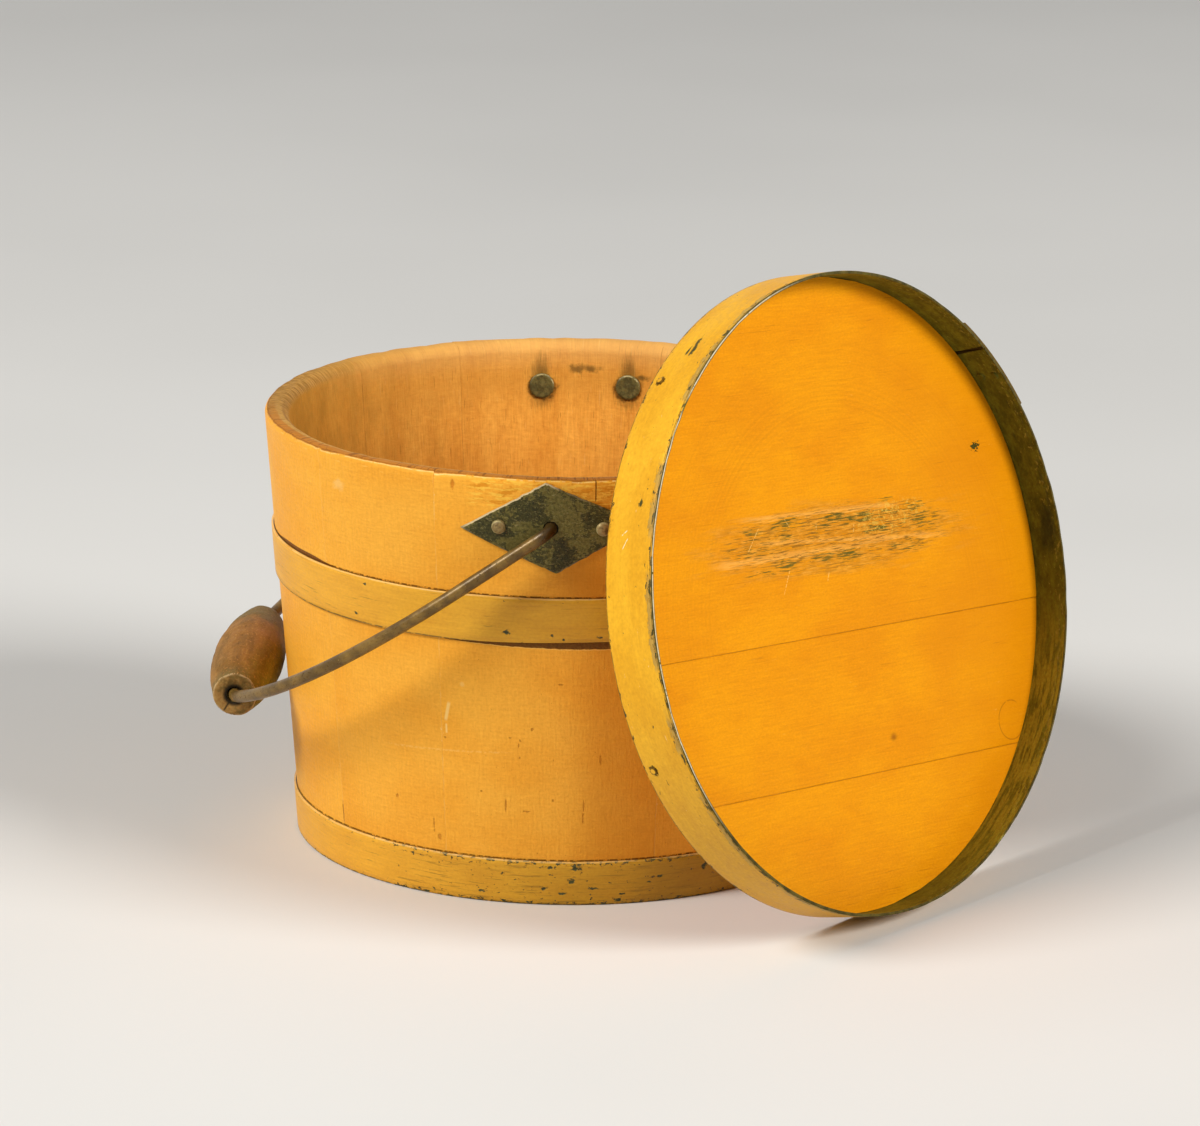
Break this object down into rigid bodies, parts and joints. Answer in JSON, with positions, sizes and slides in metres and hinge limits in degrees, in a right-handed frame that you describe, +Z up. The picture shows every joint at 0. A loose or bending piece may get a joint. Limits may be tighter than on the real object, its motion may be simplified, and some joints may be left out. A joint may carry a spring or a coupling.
{
  "type": "covered pail",
  "caption": "Staved wooden pail with painted hoops, a wire bail with a turned grip, and a banded round lid that leans on its rim.",
  "frame": {"origin": "centre of the pail's foot, on the surface it stands on", "axes": "+Z up, +X from the pail's axis towards the side where the lid leans"},
  "size_m": [0.4037, 0.325, 0.3036],
  "materials": {
    "stave_paint": "old orange-yellow paint outside, bare pine inside",
    "bare_wood": "bare, worn pine",
    "hoop_paint": "brushed mustard paint with chips",
    "band_paint": "brushed yellow paint, worn to bare metal at the mouth",
    "lid_paint": "old orange paint, scraped in the middle",
    "dark_iron": "dark wrought iron with grey wear",
    "rivet_iron": "brown iron",
    "wire_iron": "smooth brown iron wire",
    "grip_wood": "handled reddish-brown wood"
  },
  "bodies": {
    "pail_body": {"front_ear_stave": "stave_paint", "back_ear_stave": "stave_paint", "lid_side_stave_1": "stave_paint", "lid_side_stave_2": "stave_paint", "lid_side_stave_3": "stave_paint", "lid_side_stave_4": "stave_paint", "lid_side_stave_5": "stave_paint", "bail_side_stave_1": "stave_paint", "bail_side_stave_2": "stave_paint", "bail_side_stave_3": "stave_paint", "bail_side_stave_4": "stave_paint", "bail_side_stave_5": "stave_paint", "bottom_board_left": "bare_wood", "bottom_board_middle": "bare_wood", "bottom_board_right": "bare_wood", "upper_hoop": "hoop_paint", "lower_hoop": "hoop_paint", "upper_hoop_rivets": "rivet_iron", "lower_hoop_rivets": "rivet_iron", "front_ear_plate": "dark_iron", "back_ear_plate": "dark_iron", "front_ear_rivets": "rivet_iron", "back_ear_rivets": "rivet_iron", "front_ear_burrs": "dark_iron", "back_ear_burrs": "dark_iron"},
    "bail_body": {"bail": "wire_iron"},
    "grip_body": {"grip": "grip_wood"},
    "lid_body": {"lid_board_upper": "lid_paint", "lid_board_middle": "lid_paint", "lid_board_lower": "lid_paint", "lid_band": "band_paint", "lid_band_rivets": "rivet_iron", "lid_nails": "dark_iron"}
  },
  "joints": [
    {"name": "bail_swing", "type": "hinge", "parent": "pail_body", "child": "bail_body", "pos_m": [0, 0, 0.19], "axis": [-0.6157, 0.788, 0], "range_deg": [0, 155]},
    {"name": "grip_spin", "type": "hinge", "parent": "bail_body", "child": "grip_body", "pos_m": [-0.12553, -0.09808, 0.07928], "axis": [0.6157, -0.788, 0], "continuous": true},
    {"name": "lid_lift", "type": "slide", "parent": "pail_body", "child": "lid_body", "axis": [0, 0, 1], "range_m": [0, 0.24]}
  ]
}
